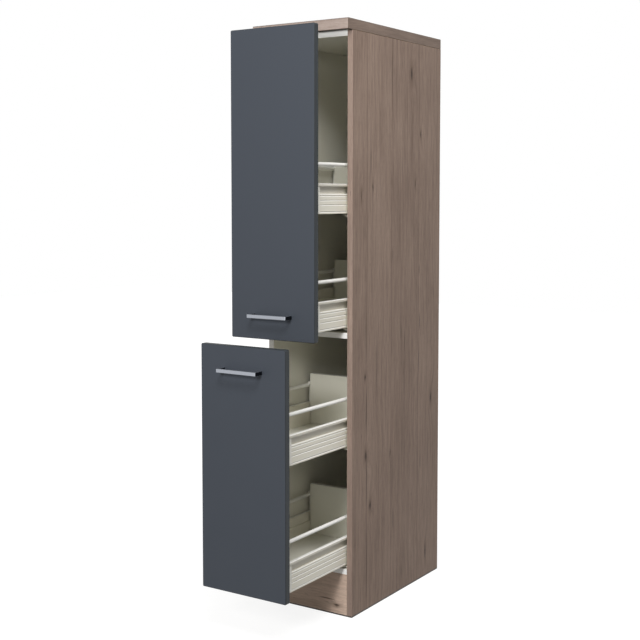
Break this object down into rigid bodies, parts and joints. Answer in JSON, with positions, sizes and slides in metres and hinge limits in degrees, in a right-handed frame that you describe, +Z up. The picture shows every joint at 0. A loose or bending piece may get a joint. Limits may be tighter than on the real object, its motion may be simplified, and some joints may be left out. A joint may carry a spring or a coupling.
{
  "type": "pull out larder unit",
  "caption": "Tall narrow kitchen larder cabinet in oak decor: slate grey fronts with bow handles pull out on roller runners and carry steel-sided drawers with gallery rails.",
  "frame": {"origin": "middle of the plinth's front bottom edge, on the floor, in the plane of the cabinet's front edges", "axes": "+X to the right seen from the front, +Y into the cabinet so that the fronts face -Y, +Z up"},
  "size_m": [0.34, 0.912, 1.76],
  "materials": {
    "oak_decor": "matt oak decor foil",
    "white_melamine": "matt melamine",
    "white_hardboard": "matt lacquered",
    "slate_front": "matt slate foil",
    "cream_steel": "powder coated",
    "white_rail": "powder coated",
    "satin_nickel": "satin plated",
    "nylon": "moulded nylon",
    "holder_plastic": "moulded plastic",
    "zinc_fittings": "zinc plated",
    "beech": "bare turned beech"
  },
  "bodies": {
    "carcass": {"side_panel_right": "oak_decor", "side_panel_left": "oak_decor", "top_board": "white_melamine", "middle_board": "white_melamine", "bottom_board": "white_melamine", "back_panel": "white_hardboard", "plinth": "oak_decor", "top_slab": "oak_decor", "board_dowels": "beech", "cam_locks": "zinc_fittings", "wall_brackets": "zinc_fittings", "cabinet_screws": "zinc_fittings", "u1_runners": "cream_steel", "u2_runners": "cream_steel", "l1_runners": "cream_steel", "l2_runners": "cream_steel"},
    "upper_pullout": {"upper_front": "slate_front", "upper_handle": "satin_nickel", "upper_handle_screws": "zinc_fittings", "upper_front_screws": "zinc_fittings", "u1_side_right": "cream_steel", "u1_side_left": "cream_steel", "u1_base": "white_melamine", "u1_rear_board": "white_melamine", "u1_rails": "white_rail", "u1_front_brackets": "white_rail", "u1_rear_holders": "holder_plastic", "u2_side_right": "cream_steel", "u2_side_left": "cream_steel", "u2_base": "white_melamine", "u2_rear_board": "white_melamine", "u2_rails": "white_rail", "u2_front_brackets": "white_rail", "u2_rear_holders": "holder_plastic"},
    "lower_pullout": {"lower_front": "slate_front", "lower_handle": "satin_nickel", "lower_handle_screws": "zinc_fittings", "lower_front_screws": "zinc_fittings", "l1_side_right": "cream_steel", "l1_side_left": "cream_steel", "l1_base": "white_melamine", "l1_rear_board": "white_melamine", "l1_rails": "white_rail", "l1_front_brackets": "white_rail", "l1_rear_holders": "holder_plastic", "l2_side_right": "cream_steel", "l2_side_left": "cream_steel", "l2_base": "white_melamine", "l2_rear_board": "white_melamine", "l2_rails": "white_rail", "l2_front_brackets": "white_rail", "l2_rear_holders": "holder_plastic"},
    "u1_front_rollers": {"u1_front_rollers": "nylon"},
    "u1_rear_rollers": {"u1_rear_rollers": "nylon"},
    "u2_front_rollers": {"u2_front_rollers": "nylon"},
    "u2_rear_rollers": {"u2_rear_rollers": "nylon"},
    "l1_front_rollers": {"l1_front_rollers": "nylon"},
    "l1_rear_rollers": {"l1_rear_rollers": "nylon"},
    "l2_front_rollers": {"l2_front_rollers": "nylon"},
    "l2_rear_rollers": {"l2_rear_rollers": "nylon"}
  },
  "joints": [
    {"name": "upper_slide", "type": "slide", "parent": "carcass", "child": "upper_pullout", "axis": [0, -1, 0], "range_m": [-0.171, 0.207]},
    {"name": "lower_slide", "type": "slide", "parent": "carcass", "child": "lower_pullout", "axis": [0, -1, 0], "range_m": [-0.313, 0.065]},
    {"name": "u1_front_roller_spin", "type": "hinge", "parent": "carcass", "child": "u1_front_rollers", "pos_m": [0, 0.022, 1.2438], "axis": [1, 0, 0], "range_deg": [-820, 992]},
    {"name": "u1_rear_roller_spin", "type": "hinge", "parent": "upper_pullout", "child": "u1_rear_rollers", "pos_m": [0, 0.313, 1.2063], "axis": [1, 0, 0], "range_deg": [-820, 992]},
    {"name": "u2_front_roller_spin", "type": "hinge", "parent": "carcass", "child": "u2_front_rollers", "pos_m": [0, 0.022, 0.9093], "axis": [1, 0, 0], "range_deg": [-820, 992]},
    {"name": "u2_rear_roller_spin", "type": "hinge", "parent": "upper_pullout", "child": "u2_rear_rollers", "pos_m": [0, 0.313, 0.8718], "axis": [1, 0, 0], "range_deg": [-820, 992]},
    {"name": "l1_front_roller_spin", "type": "hinge", "parent": "carcass", "child": "l1_front_rollers", "pos_m": [0, 0.022, 0.5543], "axis": [1, 0, 0], "range_deg": [-1500, 315]},
    {"name": "l1_rear_roller_spin", "type": "hinge", "parent": "lower_pullout", "child": "l1_rear_rollers", "pos_m": [0, 0.171, 0.5168], "axis": [1, 0, 0], "range_deg": [-1500, 315]},
    {"name": "l2_front_roller_spin", "type": "hinge", "parent": "carcass", "child": "l2_front_rollers", "pos_m": [0, 0.022, 0.1993], "axis": [1, 0, 0], "range_deg": [-1500, 315]},
    {"name": "l2_rear_roller_spin", "type": "hinge", "parent": "lower_pullout", "child": "l2_rear_rollers", "pos_m": [0, 0.171, 0.1618], "axis": [1, 0, 0], "range_deg": [-1500, 315]}
  ],
  "couplings": [
    {"joint": "u1_front_roller_spin", "follows": "upper_slide", "rad_per_m": 83.333},
    {"joint": "u1_rear_roller_spin", "follows": "upper_slide", "rad_per_m": 83.333},
    {"joint": "u2_front_roller_spin", "follows": "upper_slide", "rad_per_m": 83.333},
    {"joint": "u2_rear_roller_spin", "follows": "upper_slide", "rad_per_m": 83.333},
    {"joint": "l1_front_roller_spin", "follows": "lower_slide", "rad_per_m": 83.333},
    {"joint": "l1_rear_roller_spin", "follows": "lower_slide", "rad_per_m": 83.333},
    {"joint": "l2_front_roller_spin", "follows": "lower_slide", "rad_per_m": 83.333},
    {"joint": "l2_rear_roller_spin", "follows": "lower_slide", "rad_per_m": 83.333}
  ]
}
